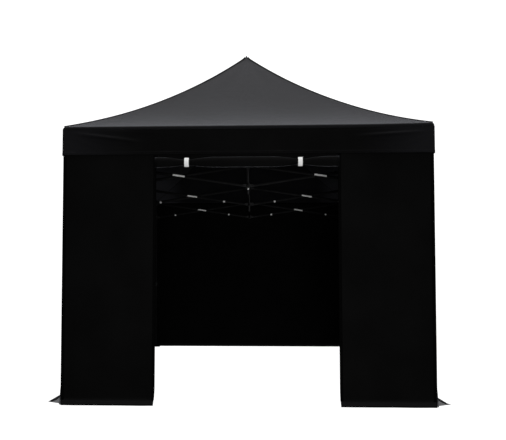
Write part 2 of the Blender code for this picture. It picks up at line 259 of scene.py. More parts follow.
def drilled_plate(outline, holes, place, thick):
    """A flat plate with round holes."""
    work = bmesh.new()
    edges = []
    for loop in (outline, *holes):
        corners = [work.verts.new((a, b, 0)) for a, b in loop]
        edges += [work.edges.new((corners[k - 1], corners[k])) for k in range(len(corners))]
    bmesh.ops.triangle_fill(work, use_beauty=True, use_dissolve=False, edges=edges)
    flat = list(work.faces)
    raised = bmesh.ops.extrude_face_region(work, geom=flat, use_keep_orig=True)["geom"]
    for item in raised:
        if isinstance(item, bmesh.types.BMVert):
            item.co.z = thick
    work.verts.index_update()
    points = [place(*corner.co) for corner in work.verts]
    # The faces are sorted, because an extrusion gives its side faces in no fixed order.
    faces = sorted(tuple(corner.index for corner in face.verts) for face in work.faces)
    work.free()
    return points, faces


STEEL = (powder_coated_steel("powder_coated_steel", "#020203", "#050506", 0.08), "coated_steel")
NYLON = (moulded_nylon(), "black_nylon")
LEG_X = middle_of("leg_upper_front_right")[0]
LEG_Y = middle_of("leg_upper_rear_right")[1]
LEGS = [
    (corner_name(x_side, y_side), x_side, y_side, x_side * LEG_X, y_side * LEG_Y)
    for y_side in (-1, 1)
    for x_side in (-1, 1)
]

for where, x_side, y_side, x, y in LEGS:
    upper_low, upper_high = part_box(f"leg_upper_{where}")
    lower_low, lower_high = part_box(f"leg_lower_{where}")
    tube = square_tube(x, y, TUBE_HALF, TUBE_CORNER, upper_low.z, upper_high.z)
    add_piece(f"leg_tube_{where}", joined_mesh([tube]), STEEL, [f"leg_upper_{where}"])

    inner = square_tube(x, y, INNER_HALF, TUBE_CORNER - TUBE_WALL / 2, FOOT_THICK, lower_high.z)
    foot_half = (lower_high.x - lower_low.x) / 2
    foot_centre = (lower_low + lower_high) / 2
    near = foot_half - PEG_NEAR
    far = foot_half - PEG_FAR
    holes = [
        circle(x_side * far, y_side * near, PEG_HOLE, 16),
        circle(x_side * near, y_side * far, PEG_HOLE, 16),
    ]
    foot_place = upright(foot_centre.x, foot_centre.y)
    plate = drilled_plate(round_square(foot_half, FOOT_CORNER), holes, foot_place, FOOT_THICK)
    weld_toe = round_square(INNER_HALF + WELD, TUBE_CORNER + WELD / 2)
    weld_top = round_square(INNER_HALF + GAP, TUBE_CORNER)
    levels = [(weld_toe, FOOT_THICK), (weld_toe, FOOT_THICK + GAP), (weld_top, FOOT_THICK + WELD)]
    foot = joined_mesh([inner, plate, stacked(levels, upright(x, y))])
    add_piece(f"leg_foot_{where}", foot, STEEL, [f"leg_lower_{where}"])

    outer = round_square(COLLAR_HALF, COLLAR_CORNER)
    eased = round_square(COLLAR_HALF - EASE, COLLAR_CORNER - 0.001)
    bore = round_square(TUBE_HALF + GAP, TUBE_CORNER)
    neck = round_square(INNER_HALF + GAP, TUBE_CORNER)
    base = upper_low.z - COLLAR_BELOW
    top = base + COLLAR_HIGH
    levels = [
        (neck, base),
        (eased, base),
        (outer, base + COLLAR_RIM),
        (outer, top - COLLAR_RIM),
        (eased, top),
        (bore, top),
        (bore, upper_low.z - GAP),
        (neck, upper_low.z - GAP),
    ]
    button_centre = Vector((x, y - y_side * COLLAR_HALF, base + COLLAR_HIGH / 2))
    face = placed(button_centre, ACROSS, UP, ALONG * -y_side)
    button = prism(circle(0, 0, BUTTON_RADIUS), face, -0.001, BUTTON_HIGH)
    collar = joined_mesh([stacked(levels, upright(x, y), loop=True), button])
    add_piece(f"leg_collar_{where}", collar, NYLON)


# Hubs, sliders and top brackets
# Nylon mouldings with a pair of lugs for each strut end. A hub is pushed over the mast, a slider
# runs on each leg below the bracket that caps it, and the sides' hubs hang between their struts.

MAST_Y = middle_of("mast_rear")[1]
UPPER_PIVOT = middle_of("mast_hub_upper_front")[2]
LOWER_PIVOT = middle_of("mast_hub_lower_front")[2]
REACH = 0.045
LAYER = 0.0085
STRUT_THICK = 0.015
LUG_THICK = 0.005
LUG_ROUND = 0.0145
HUB_HALF = 0.022
HUB_HIGH = 0.050
HUB_CORNER = 0.006
RIM = 0.009
WAIST = 0.0025
SLEEVE_HALF = TUBE_HALF + 0.004
SLEEVE_CORNER = 0.008


def layer_of(out, upper):
    """Which side of the middle plane a strut end lies on, -1 or 1."""
    return -1 if (out.x + out.y > 0) == upper else 1


def sideways(out):
    return ALONG if abs(out.x) > 0.5 else ACROSS


def lug_pair(centre, out, layer):
    """Two lugs with round ends, one on each face of a strut end."""
    place = placed(centre, out, UP, sideways(out) * layer)
    tip = [math.radians(k) for k in range(-80, 81, 20)]
    outline = [(0, -LUG_ROUND), (REACH, -LUG_ROUND)]
    outline += [(REACH + LUG_ROUND * math.cos(t), LUG_ROUND * math.sin(t)) for t in tip]
    outline += [(REACH, LUG_ROUND), (0, LUG_ROUND)]
    near = LAYER - STRUT_THICK / 2 - GAP
    far = LAYER + STRUT_THICK / 2 + GAP
    return [
        prism(outline, place, near - LUG_THICK, near),
        prism(outline, place, far, far + LUG_THICK),
    ]


def hub_block(centre):
    """The round-cornered body of a hub, with a raised rim at the top and at the bottom."""
    full = round_square(HUB_HALF, HUB_CORNER)
    eased = round_square(HUB_HALF - EASE, HUB_CORNER - 0.001)
    waist = round_square(HUB_HALF - WAIST, HUB_CORNER - 0.002)
    half = HUB_HIGH / 2
    upper = [(waist, half - RIM - WAIST), (full, half - RIM), (full, half - EASE), (eased, half)]
    lower = [(outline, -height) for outline, height in reversed(upper)]
    return stacked(lower + upper, placed(centre, ACROSS, ALONG, UP))


def add_hub(name, centre, directions, upper, stands_for=()):
    shapes = [hub_block(centre)]
    for out in directions:
        shapes += lug_pair(centre, out, layer_of(out, upper))
    return add_piece(name, joined_mesh(shapes), NYLON, stands_for)


LEVELS = (("upper", UPPER_PIVOT, True), ("lower", LOWER_PIVOT, False))

ENDS = (("front", -1), ("rear", 1))
SIDES = (("left", -1), ("right", 1))

for end, y_side in ENDS:
    for level, height, upper in LEVELS:
        node = f"mast_hub_{level}_{end}"
        centre = Vector((0, y_side * MAST_Y, height))
        add_hub(f"{node}_moulding", centre, (ACROSS, -ACROSS, ALONG, -ALONG), upper, [node])

for end, y_side in ENDS:
    for level, height, upper in LEVELS:
        centre = Vector((0, y_side * LEG_Y, height))
        ways = (ACROSS, -ACROSS, ALONG * -y_side)
        add_hub(f"{end}_side_hub_{level}", centre, ways, upper)

for side, x_side in SIDES:
    for end, y_side in ENDS:
        for level, height, upper in LEVELS:
            centre = Vector((x_side * LEG_X, y_side * MAST_Y, height))
            ways = (ALONG, -ALONG, ACROSS * -x_side)
            add_hub(f"{side}_side_hub_{level}_{end}", centre, ways, upper)

outer = round_square(SLEEVE_HALF, SLEEVE_CORNER)
eased = round_square(SLEEVE_HALF - EASE, SLEEVE_CORNER - 0.001)
crown = round_square(SLEEVE_HALF - 0.006, SLEEVE_CORNER - 0.002)
bore = round_square(TUBE_HALF + GAP, TUBE_CORNER)

for where, x_side, y_side, x, y in LEGS:
    slider_low, slider_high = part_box(f"slider_{where}")
    slider = [
        (eased, slider_low.z),
        (outer, slider_low.z + EASE),
        (outer, slider_high.z - EASE),
        (eased, slider_high.z),
        (bore, slider_high.z),
        (bore, slider_low.z),
    ]
    low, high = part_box(f"top_bracket_{where}")
    bracket = [
        (bore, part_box(f"leg_upper_{where}")[1].z + GAP),
        (bore, low.z),
        (eased, low.z),
        (outer, low.z + EASE),
        (outer, high.z - 0.008),
        (eased, high.z - 0.003),
        (crown, high.z - 0.001),
    ]
    for node, levels, loop, height, upper in (
        (f"slider_{where}", slider, True, LOWER_PIVOT, False),
        (f"top_bracket_{where}", bracket, False, UPPER_PIVOT, True),
    ):
        shapes = [stacked(levels, upright(x, y), loop)]
        for out in (ACROSS * -x_side, ALONG * -y_side):
            shapes += lug_pair(Vector((x, y, height)), out, layer_of(out, upper))
        add_piece(f"{node}_moulding", joined_mesh(shapes), NYLON, [node])


# Scissor struts
# Each strut is a rectangular steel tube, 15 by 30 mm and powder-coated, with a nylon plug in each
# end. Two cross in every bay and turn on a bolt with a washer between them. Pins with flat heads
# hold their ends in the lugs. Plain white labels mark some struts, and white caps some bolts.

STRUT_DEEP = 0.030
STRUT_END = 0.015
STRUT_CORNER = 0.003
PLUG_NOSE = 0.003
PLUG_EDGE = 0.0012
PIN_RADIUS = 0.004
BOLT_HEAD = 0.0065
BOLT_HEAD_HIGH = 0.004
PIN_HEAD_HIGH = 0.0022
WASHER = 0.011
LABEL_LONG = 0.130
LABEL_HIGH = 0.0185
LABEL_CORNER = 0.003
LABEL_THICK = 0.0004
LABEL_STRAY = 0.012
COVER_THICK = 0.0015
COVER_HIGH = 0.001
CAP_RADIUS = 0.0142
CAP_HIGH = 0.010
CAP_FROM_CROSSING = 0.425
CAP_DROP = 0.006
OUTBOARD = 0.016


def mottled(name, scale, detail, dark, light, finish, relief=()):
    """A material whose colour drifts with a noise, and its relief too."""
    material, tree, places = empty_material(name)
    noise = {"Vector": places["Object"], "Scale": scale, "Detail": detail}
    level = add_node(tree, "TexNoise", noise).outputs["Fac"]
    add_surface(tree, dark, [(level, light)], [(level, *relief)] if relief else [], finish)
    return material


# Cold-headed steel with black zinc plate: metallic, dark and slightly blotched.
plated = {"Metallic": 1.0, "Roughness": 0.42}
ZINC = (mottled("black_zinc_plated_steel", 120, 3, "#0c0c0d", "#1a1a1c", plated), "coated_steel")
# Vinyl film and moulded polyethylene, both plain white: bright and even, with a soft gloss and
# faint scuffs.
LABEL_FILM, WHITE_CAP = (
    (mottled(name, 60, 5, "#f6f6f4", "#ffffff", {"Roughness": roughness}), "strap_webbing")
    for name, roughness in (("white_vinyl_label", 0.35), ("white_polyethylene_cap", 0.45))
)


def dome(centre, out, radius, high, steps=5, rim=0.35):
    """A round cap whose face bulges along out, from a rim that is a share of its height."""
    first = sideways(out) if abs(out.z) < 0.5 else ACROSS
    place = placed(centre, first, out.cross(first), out)
    levels = [(circle(0, 0, radius), 0), (circle(0, 0, radius), high * rim)]
    for k in range(1, steps):
        turn = math.pi / 2 * k / steps
        ring = circle(0, 0, radius * math.cos(turn))
        levels.append((ring, high * (rim + (1 - rim) * math.sin(turn))))
    return stacked(levels, place)


def pin_through(centre, side, reach, head_high):
    """A pin across the truss with a head on one end and a nut on the other."""
    place = placed(centre, sideways(side), UP, side)
    shank = circle(0, 0, PIN_RADIUS, 12)
    return [
        stacked([(shank, -reach), (shank, reach)], place),
        prism(circle(0, 0, BOLT_HEAD), place, -reach - head_high, -reach),
        prism(circle(0, 0, BOLT_HEAD, 6), place, reach, reach + head_high),
    ]


def add_truss(node, posts, white_labels=False, white_caps=False, label_shift=0.0):
    """The struts, plugs and bolts of one truss, which stand for its node of the same name."""
    run = (posts[-1] - posts[0]).normalized()
    side = sideways(run)
    rise = UPPER_PIVOT - LOWER_PIVOT
    inside = LAYER - STRUT_THICK / 2
    outside = LAYER + STRUT_THICK / 2
    plugs, bolts, labels, caps = [], [], [], []
    for bay, (start, end) in enumerate(zip(posts, posts[1:]), 1):
        first = start + run * REACH
        last = end - run * REACH
        span = (last - first).length
        half = math.hypot(span, rise) / 2 + STRUT_END
        crossing = (first + last) / 2 + UP * (UPPER_PIVOT + LOWER_PIVOT) / 2
        bolts += pin_through(crossing, side, outside, BOLT_HEAD_HIGH)
        washer = placed(crossing, sideways(side), UP, side)
        plugs.append(prism(circle(0, 0, WASHER), washer, -inside, inside, 0.0002))
        for layer, way in ((-1, "falling"), (1, "rising")):
            slope = (run * span + UP * rise * layer).normalized()
            place = placed(crossing + side * layer * LAYER, side, slope.cross(side), slope)
            tube = round_rectangle(STRUT_THICK / 2, STRUT_DEEP / 2, STRUT_CORNER, 3)
            tube_half = half - PLUG_NOSE
            strut = joined_mesh([stacked([(tube, -tube_half), (tube, tube_half)], place)])
            name = f"{node}_strut_{way}_{bay}" if len(posts) > 2 else f"{node}_strut_{way}"
            add_piece(name, strut, STEEL, [node])
            nose, tip = (
                round_rectangle(STRUT_THICK / 2 - thin, STRUT_DEEP / 2 - low, STRUT_CORNER, 3)
                for thin, low in ((0.0004, 0.0004), (0.003, 0.004))
            )
            for sign in (-1, 1):
                ends = [(nose, sign * tube_half), (nose, sign * (half - PLUG_EDGE))]
                plugs.append(stacked([*ends, (tip, sign * half)], place))
            outboard = slope * math.copysign(OUTBOARD, crossing.dot(run))
            if white_labels and layer == -1:
                head = crossing - side * outside
                middle = head + outboard + run * label_shift
                face = placed(middle, slope, slope.cross(side), -side)
                film = round_rectangle(LABEL_LONG / 2, LABEL_HIGH / 2, LABEL_CORNER)
                labels.append(prism(film, face, 0, LABEL_THICK, 0.0001))
                cover = (BOLT_HEAD + COVER_THICK, BOLT_HEAD_HIGH + COVER_HIGH)
                labels.append(dome(head, -side, *cover))
            if white_caps:
                low_end = crossing - slope * layer * CAP_FROM_CROSSING + outboard
                centre = low_end + side * (layer * LAYER - STRUT_THICK / 2) - UP * CAP_DROP
                caps.append(dome(centre, -side, CAP_RADIUS, CAP_HIGH))
    ends = [(posts[0], (run,)), (posts[-1], (-run,))]
    for post, ways in ends + [(post, (run, -run)) for post in posts[1:-1]]:
        for out in ways:
            for level, height, upper in LEVELS:
                pivot = post + out * REACH + UP * height + side * layer_of(out, upper) * LAYER
                grip = STRUT_THICK / 2 + GAP + LUG_THICK
                bolts += pin_through(pivot, side, grip, PIN_HEAD_HIGH)
    add_piece(f"{node}_plugs_and_washers", joined_mesh(plugs), NYLON, [node])
    add_piece(f"{node}_bolts", joined_mesh(bolts), ZINC, [node])
    if labels:
        add_piece(f"{node}_labels", joined_mesh(labels), LABEL_FILM, [node])
    if caps:
        add_piece(f"{node}_bolt_caps", joined_mesh(caps), WHITE_CAP, [node])


BAYS_ACROSS = (-LEG_X, 0, LEG_X)
BAYS_ALONG = (-LEG_Y, -MAST_Y, MAST_Y, LEG_Y)
for end, y_side in ENDS:
    posts = [Vector((x, y_side * LEG_Y, 0)) for x in BAYS_ACROSS]
    add_truss(f"{end}_truss", posts, white_labels=end == "rear", white_caps=end == "rear")
for side, x_side in SIDES:
    add_truss(f"{side}_truss", [Vector((x_side * LEG_X, y, 0)) for y in BAYS_ALONG])
for end, y_side in ENDS:
    left, middle, right = (Vector((x, y_side * MAST_Y, 0)) for x in BAYS_ACROSS)
    caps_here = end == "rear"
    # The front row's labels are stuck on a little further along.
    shift = 0.0 if caps_here else LABEL_STRAY
    add_truss(f"cross_truss_{end}_left", [left, middle], True, caps_here, shift)
    add_truss(f"cross_truss_{end}_right", [middle, right], True, caps_here, shift)
stops = [Vector((0, y, 0)) for y in BAYS_ALONG]
for start, end, where in zip(stops, stops[1:], ("front", "middle", "rear")):
    add_truss(f"ridge_truss_{where}", [start, end])


# Masts
# Two 25 mm round steel tubes stand in the middle hubs and push the roof up. A cone-shaped nylon
# head spreads the load under the cloth, and a plug closes the lower end. A white cap covers the
# pin that locks the front mast in its hub.

PEAK_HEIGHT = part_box("roof_front")[1].z
MAST_RADIUS = 0.0125
MAST_LEAN = 0.019
HEAD_SLOPE = 1.3
HEAD_SKIRT = 0.010
HEAD_SLEEVE = 0.030
HEAD_TIP = 0.005
PEAK_PUSH = 0.012
PLUG_RADIUS = 0.014
PIN_CAP_RADIUS = 0.0105
PIN_CAP_HIGH = 0.010
PIN_CAP_DROP = 0.011
# The masts' steel is painted a lighter grey than the struts': a painted highlight, so the upright
# tubes show as lit lines.
MAST_STEEL = (
    powder_coated_steel("powder_coated_mast_steel", "#19191b", "#212123", 0.50),
    "coated_steel",
)


def turned(profile, y, sides=32):
    """A mast's piece from pairs of radius and height. The mast leans to the left by MAST_LEAN
    at the peak."""
    lean = Vector((-MAST_LEAN / (PEAK_HEIGHT - LOWER_PIVOT), 0, 1))
    foot = Vector((0, y, 0)) + lean * -LOWER_PIVOT + UP * LOWER_PIVOT
    rings = [(circle(0, 0, radius, sides), height) for radius, height in profile]
    return stacked(rings, placed(foot, ACROSS, ALONG, lean))


for end in ("front", "rear"):
    low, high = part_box(f"mast_{end}")
    y = (low.y + high.y) / 2
    head = high.x
    shoulder = high.z - HEAD_SLOPE * head
    skirt = shoulder - HEAD_SKIRT
    tube = turned([(MAST_RADIUS, low.z), (MAST_RADIUS, skirt + 0.002)], y)
    add_piece(f"mast_{end}_tube", joined_mesh([tube]), MAST_STEEL, [f"mast_{end}"])
    # The head's tip lies above the solid one by PEAK_PUSH, and tents the cloth as far.
    round_tip = [math.radians(k) for k in (35, 50, 65, 80)]
    tip_height = high.z - HEAD_SLOPE * HEAD_TIP + PEAK_PUSH - 0.003
    profile = [
        (MAST_RADIUS + GAP, skirt - HEAD_SLEEVE),
        (MAST_RADIUS + 0.003, skirt - HEAD_SLEEVE),
        (MAST_RADIUS + 0.004, skirt - 0.002),
        (head - 0.002, skirt),
        (head, skirt + 0.002),
        (head, shoulder - 0.003),
        (head - 0.002, shoulder),
    ]
    profile += [(HEAD_TIP * math.cos(t), tip_height + HEAD_TIP * math.sin(t)) for t in round_tip]
    add_piece(f"mast_{end}_head", joined_mesh([turned(profile, y)]), NYLON, [f"mast_{end}"])
    profile = [
        (0.006, low.z - 0.012),
        (PLUG_RADIUS - 0.003, low.z - 0.010),
        (PLUG_RADIUS, low.z - 0.004),
        (PLUG_RADIUS, low.z - GAP),
    ]
    add_piece(f"mast_{end}_plug", joined_mesh([turned(profile, y)]), NYLON)

pin_height = LOWER_PIVOT - HUB_HIGH / 2 - PIN_CAP_DROP
pin_place = Vector((0, -MAST_Y - MAST_RADIUS, pin_height))
pin_cap = dome(pin_place, -ALONG, PIN_CAP_RADIUS, PIN_CAP_HIGH)
add_piece("mast_front_pin_cap", joined_mesh([pin_cap]), WHITE_CAP)


# Roof canopy
# One sewn cover of PVC-coated polyester, 300 g/m2, cut as four panels. The masts stretch it into
# a hipped roof whose seams sag like ropes. It folds over the eave, where the valance is sewn on.

CLOTH = 0.0014
SOLID_CLOTH = 0.004
OFF_SOLID = 0.0011
EAVE_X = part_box("roof_right")[1].x
EAVE_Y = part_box("roof_rear")[1].y
EAVE_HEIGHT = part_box("roof_front")[0].z + SOLID_CLOTH
HIP_SAG = 0.112
RIDGE_SAG = 0.02
HIP_ROUND = 0.020
END_SAG = 0.006
SIDE_SAG = 0.010
FOLD_RADIUS = 0.022
FOLD_DOWN = 0.010
DOWN_STEPS = 3
FOLD_STEPS = 9
ROOF_STEPS_X = 76
ROOF_STEPS_Y = 114
CORNER_PUSH = 0.009
CORNER_SPREAD = 0.15
PEAK_SPREAD = 0.030
PLEATS = 14
PLEAT_HIGH = 0.0012
PLEAT_FROM_TIP = 0.35
PLEAT_SPREAD = 0.25
LOOSE_HIGH = 0.0015
WEAVE = 0.003
STITCH_LONG = 0.008
STITCH_WIDE = 0.0016
STITCH_SHARE = 0.7


def wave_along(tree, distance, pitch):
    """A wave between -1 and 1 along a distance, with its pitch in metres."""
    phase = {0: distance, 1: 2 * math.pi / pitch}
    phase = add_node(tree, "Math", phase, operation="MULTIPLY").outputs[0]
    return add_node(tree, "Math", {0: phase}, operation="SINE").outputs[0]


def coated_polyester(name, dark, light, sheen, dust_and_painted_light=("Z", 0, -1, "#000000"), seams=()):
    """Woven polyester with a PVC coat: near black face on, greyer where the light grazes it.

    The threads are 0.6 mm apart and are drawn at 3 mm, or they would not show.
    dust_and_painted_light says between which two distances from the middle plane of an axis the
    colour changes, and to what colour; it carries dust, and also light and shade painted into the
    colour. Its default changes nothing. seams lists pairs of a UV axis and a distance along it,
    where a row of stitches runs."""
    material, tree, places = empty_material(name)
    room = places["Object"]
    flat = add_node(tree, "SeparateXYZ", {"Vector": places["UV"]}).outputs
    cloud = add_node(tree, "TexNoise", {"Vector": room, "Scale": 2.2, "Detail": 5})
    patch = {"Value": cloud.outputs["Fac"], "From Min": 0.35, "From Max": 0.65}
    coats = [(add_node(tree, "MapRange", patch).outputs["Result"], light)]
    # The coat of dust and of painted light and shade, by distance from the middle plane of an axis.
    axis, start, end, dust_and_light_colour = dust_and_painted_light
    reach = add_node(tree, "SeparateXYZ", {"Vector": room}).outputs[axis]
    reach = add_node(tree, "Math", {0: reach}, operation="ABSOLUTE").outputs[0]
    level = {"Value": reach, "From Min": start, "From Max": end}
    level = add_node(tree, "MapRange", level, interpolation_type="SMOOTHSTEP")
    coats.append((level.outputs["Result"], dust_and_light_colour))
    crumple = add_node(tree, "TexNoise", {"Vector": room, "Scale": 14, "Detail": 3})
    threads = {k: wave_along(tree, flat[axis], WEAVE) for k, axis in enumerate("XY")}
    weave = add_node(tree, "Math", threads, operation="MULTIPLY").outputs[0]
    reliefs = [(crumple.outputs["Fac"], 0.25, 0.004), (weave, 0.25, 0.0003)]
    for axis, distance in seams:
        row = flat[axis]
        for value, operation in (
            (distance, "SUBTRACT"),
            (0, "ABSOLUTE"),
            (STITCH_WIDE / 2, "LESS_THAN"),
        ):
            row = add_node(tree, "Math", {0: row, 1: value}, operation=operation).outputs[0]
        stitch = flat["Y" if axis == "X" else "X"]
        for value, operation in (
            (STITCH_LONG, "MODULO"),
            (STITCH_LONG * STITCH_SHARE, "LESS_THAN"),
            (row, "MULTIPLY"),
        ):
            stitch = add_node(tree, "Math", {0: stitch, 1: value}, operation=operation).outputs[0]
        coats.append((stitch, "#1c1c1e"))
        reliefs.append((stitch, 0.6, 0.0008))
    finish = {
        "Roughness": 0.7,
        "Specular IOR Level": 0.03,
        "Sheen Weight": sheen,
        "Sheen Roughness": 0.3,
        "Sheen Tint": linear("#f2f4ff"),
    }
    add_surface(tree, dark, coats, reliefs, finish)
    return material


def hip_height(along):
    """Height of a hip seam, from 0 at the eave to 1 at the mast: a rope that sags in the middle."""
    return EAVE_HEIGHT + (PEAK_HEIGHT - EAVE_HEIGHT) * along - HIP_SAG * 4 * along * (1 - along)


def round_plan(steps_x, steps_y, corner_steps=6):
    """Columns round a rectangle with round corners, from the front left one anticlockwise.

    Each is a place between -1 and 1 on the straight sides, and the direction outwards."""
    columns = []
    for quarter, steps in enumerate((steps_x, steps_y, steps_x, steps_y)):
        turn = math.pi / 2 * (quarter - 1)
        out = np.round((math.cos(turn), math.sin(turn)))
        run = np.array((-out[1], out[0]))
        columns += [(*(out + run * t), *out) for t in np.linspace(-1, 1, steps + 1)]
        for k in range(1, corner_steps):
            bend = turn + math.pi / 2 * k / corner_steps
            columns.append((*(out + run), math.cos(bend), math.sin(bend)))
    columns.append(columns[0])
    return np.array(columns).T


def lengths_along(points):
    """Distances along a row of places, from its first."""
    steps = np.linalg.norm(np.diff(points, axis=0), axis=1)
    return np.concatenate([[0], np.cumsum(steps)])


def cloth_mesh(across, rising, points, closed=False, runs=None):
    """A sheet from a grid of places, one row for each distance in rising.

    across and rising are distances along the cloth in metres, and its UVs. A closed sheet is a
    band whose last column meets its first. runs gives a direction to measure across by instead."""
    rows, columns = points.shape[:2]
    kept = points[:, :-1] if closed else points
    index = np.arange(kept.shape[0] * kept.shape[1]).reshape(kept.shape[:2])
    after = np.roll(index, -1, axis=1) if closed else index[:, 1:]
    here = index if closed else index[:, :-1]
    faces = np.stack([here[:-1], after[:-1], after[1:], here[1:]], axis=-1).reshape(-1, 4)
    mesh = bpy.data.meshes.new("cloth")
    mesh.from_pydata(kept.reshape(-1, 3).tolist(), [], faces.tolist())
    flat = np.empty((rows - 1, columns - 1, 4, 2))
    flat[..., 0] = np.stack([across[:-1], across[1:], across[1:], across[:-1]], axis=-1)
    flat[..., 1] = np.stack([rising[:-1], rising[:-1], rising[1:], rising[1:]], axis=-1)[:, None]
    if runs is not None:
        low, high = points[:-1], points[1:]
        corners = np.stack([low[:, :-1], low[:, 1:], high[:, 1:], high[:, :-1]], axis=2)
        flat[..., 0] = np.einsum("rckd,cd->rck", corners[..., :2], runs)
    mesh.uv_layers.new(name="cloth").data.foreach_set("uv", flat.ravel())
    return mesh


def add_cloth(name, mesh, finish, thick=CLOTH, stands_for=(), sharp=50):
    """A sheet of cloth as a piece, with its thickness."""
    piece = add_piece(name, mesh, finish, stands_for, sharp)
    layer = piece.modifiers.new("cloth_thickness", "SOLIDIFY")
    layer.thickness = thick
    layer.offset = 0
    return piece


def roof_point_grid():
    """Rows of places from the bottom of the fold up to the ridge."""
    place_x, place_y, out_x, out_y = ROOF_COLUMNS
    on_side = np.abs(out_x) > 0.99
    between = np.where(np.abs(out_x) > np.abs(out_y), place_y, place_x)
    start_slope = math.atan2(hip_height(0.01) - hip_height(0), 0.01 * EAVE_X)
    inset = FOLD_RADIUS * (1 - math.sin(start_slope)) / EAVE_X
    bends = np.linspace(math.pi / 2, start_slope, FOLD_STEPS)
    slope = [np.linspace(inset + 0.004, 0.06, 5), np.linspace(0.085, 0.9, 34)]
    slope.append(np.linspace(0.915, 1, 9))
    rows = [(inset, math.pi / 2, FOLD_DOWN * k / DOWN_STEPS) for k in range(DOWN_STEPS, 0, -1)]
    rows += [(inset, bend, 0) for bend in bends]
    rows += [(along, start_slope, 0) for along in np.concatenate(slope)]
    grid = []
    for along, bend, down in rows:
        outset = FOLD_RADIUS * (math.sin(bend) - math.sin(start_slope)) + OFF_SOLID
        drop = FOLD_RADIUS * (math.cos(start_slope) - math.cos(bend)) + down
        half_x = EAVE_X * (1 - along)
        half_y = EAVE_Y - EAVE_X * along
        corner = HIP_ROUND * math.sqrt(1 - along)
        outset *= min(1, 8 * (1 - along))
        x = place_x * (half_x - corner) + out_x * (corner + outset) - MAST_LEAN * along
        y = place_y * (half_y - corner) + out_y * (corner + outset)
        belly = math.sin(math.pi * along)
        sag = np.where(on_side, SIDE_SAG, END_SAG) * belly * (1 - between**2)
        dip = np.where(on_side, RIDGE_SAG * along**3 * (1 - between**2), 0)
        # Small pleats run out from the tip of each mast.
        reach = np.hypot(x, np.abs(y) - MAST_Y)
        bearing = np.arctan2(np.abs(y) - MAST_Y, np.abs(x))
        pleat = PLEAT_HIGH * np.sin(PLEATS * bearing)
        pleat *= np.exp(-(((reach - PLEAT_FROM_TIP) / PLEAT_SPREAD) ** 2))
        pleat *= 1 - np.abs(between) ** 8
        loose = LOOSE_HIGH * np.sin(2.3 * x + 1.1) * np.sin(2.9 * y + 0.7) * belly
        # The brackets at the right push their corners up, and the mast heads the peaks.
        pushed = CORNER_PUSH * math.exp(-along / CORNER_SPREAD) * np.abs(between) ** 6
        pushed = pushed * (place_x > 0)
        from_tip = np.hypot(x + MAST_LEAN, np.abs(y) - MAST_Y)
        pushed = pushed + PEAK_PUSH * np.exp(-((from_tip / PEAK_SPREAD) ** 2))
        z = hip_height(along) - sag - dip + pleat + loose + pushed - drop
        grid.append(np.stack([x, y, np.broadcast_to(z, x.shape)], axis=-1))
    return np.array(grid)


# The roof cloth is painted lighter than the same cloth on the valance and walls, and lighter again
# towards the peak: painted light from overhead.
ROOF_CLOTH = coated_polyester(
    "coated_polyester_roof", "#101011", "#151517", 0.24, dust_and_painted_light=("Z", 2.4, 3.4, "#232325")
)
ROOF_COLUMNS = round_plan(ROOF_STEPS_X, ROOF_STEPS_Y)
roof_points = roof_point_grid()
slope_length = lengths_along(roof_points[:, ROOF_STEPS_X // 2])
roof_runs = np.where(np.abs(ROOF_COLUMNS[2:, :-1]).argmax(axis=0)[:, None] == 0, (0, 1), (1, 0))
no_across = np.zeros(roof_points.shape[1])
roof_mesh = cloth_mesh(no_across, slope_length, roof_points, True, roof_runs)
# The top rows of the two sides meet on the ridge and become one.
ridge = bmesh.new()
ridge.from_mesh(roof_mesh)
bmesh.ops.remove_doubles(ridge, verts=ridge.verts, dist=1e-5)
ridge.to_mesh(roof_mesh)
ridge.free()
roof_nodes = [f"roof_{side}" for side in ("front", "rear", "left", "right")]
roof_finish = (ROOF_CLOTH, "roof_cloth")
roof_canopy = add_cloth("roof_canopy", roof_mesh, roof_finish, CLOTH, roof_nodes, 70)
# The inside of the cover is a duller lining. Its colour is painted greyer towards the sides: a
# painted pool of the light that comes in at the doorway.
LINING = coated_polyester(
    "polyurethane_coated_lining", "#18181a", "#1c1c1e", 0.06, dust_and_painted_light=("X", 1.0, 1.35, "#404044")
)
roof_mesh.materials.append(LINING)
roof_canopy.modifiers["cloth_thickness"].material_offset = 1


# Seam welts
# A cord sewn into each hip seam and along the ridge, in a strip of blacker uncoated cloth. It
# stands a little proud of the cover and draws a thin dark line along each seam.

WELT_RADIUS = 0.006


# Uncoated black polyester: no sheen, so its edge draws a darker line than the cloth beside it.
fibre = {"Roughness": 0.85, "Specular IOR Level": 0.05}
BINDING = (
    mottled("polyester_binding", 300, 3, "#030303", "#070707", fibre, (0.4, 0.0004)),
    "wall_cloth",
)


def cord_mesh(points, radius, standing=False, sides=8):
    """A round cord through a row of places, capped at both ends. A standing one has level rings."""
    points = [Vector(point) for point in points]
    last = len(points) - 1

    def place(a, b, k):
        if standing:
            return tuple(points[k] + ACROSS * a + ALONG * b)
        run = (points[min(k + 1, last)] - points[max(k - 1, 0)]).normalized()
        first = run.cross(UP).normalized()
        return tuple(points[k] + first * a + first.cross(run) * b)

    ring = circle(0, 0, radius, sides)
    return joined_mesh([stacked([(ring, k) for k in range(len(points))], place)])


out_x, out_y = ROOF_COLUMNS[2:]
for column in np.flatnonzero(np.abs(np.abs(out_x) - np.abs(out_y)) < 1e-6):
    out = np.array((out_x[column], out_y[column], 1.0)) * WELT_RADIUS * 0.5
    hip = roof_points[DOWN_STEPS + FOLD_STEPS - 1 : -1, column] + out
    name = f"hip_welt_{corner_name(out[0], out[1])}"
    add_piece(name, cord_mesh(hip, WELT_RADIUS), BINDING, sharp=60)
ridge_points = roof_points[-1, out_x > 0.999] + np.array((0, 0, WELT_RADIUS * 0.5))
add_piece("ridge_welt", cord_mesh(ridge_points, WELT_RADIUS), BINDING, sharp=60)


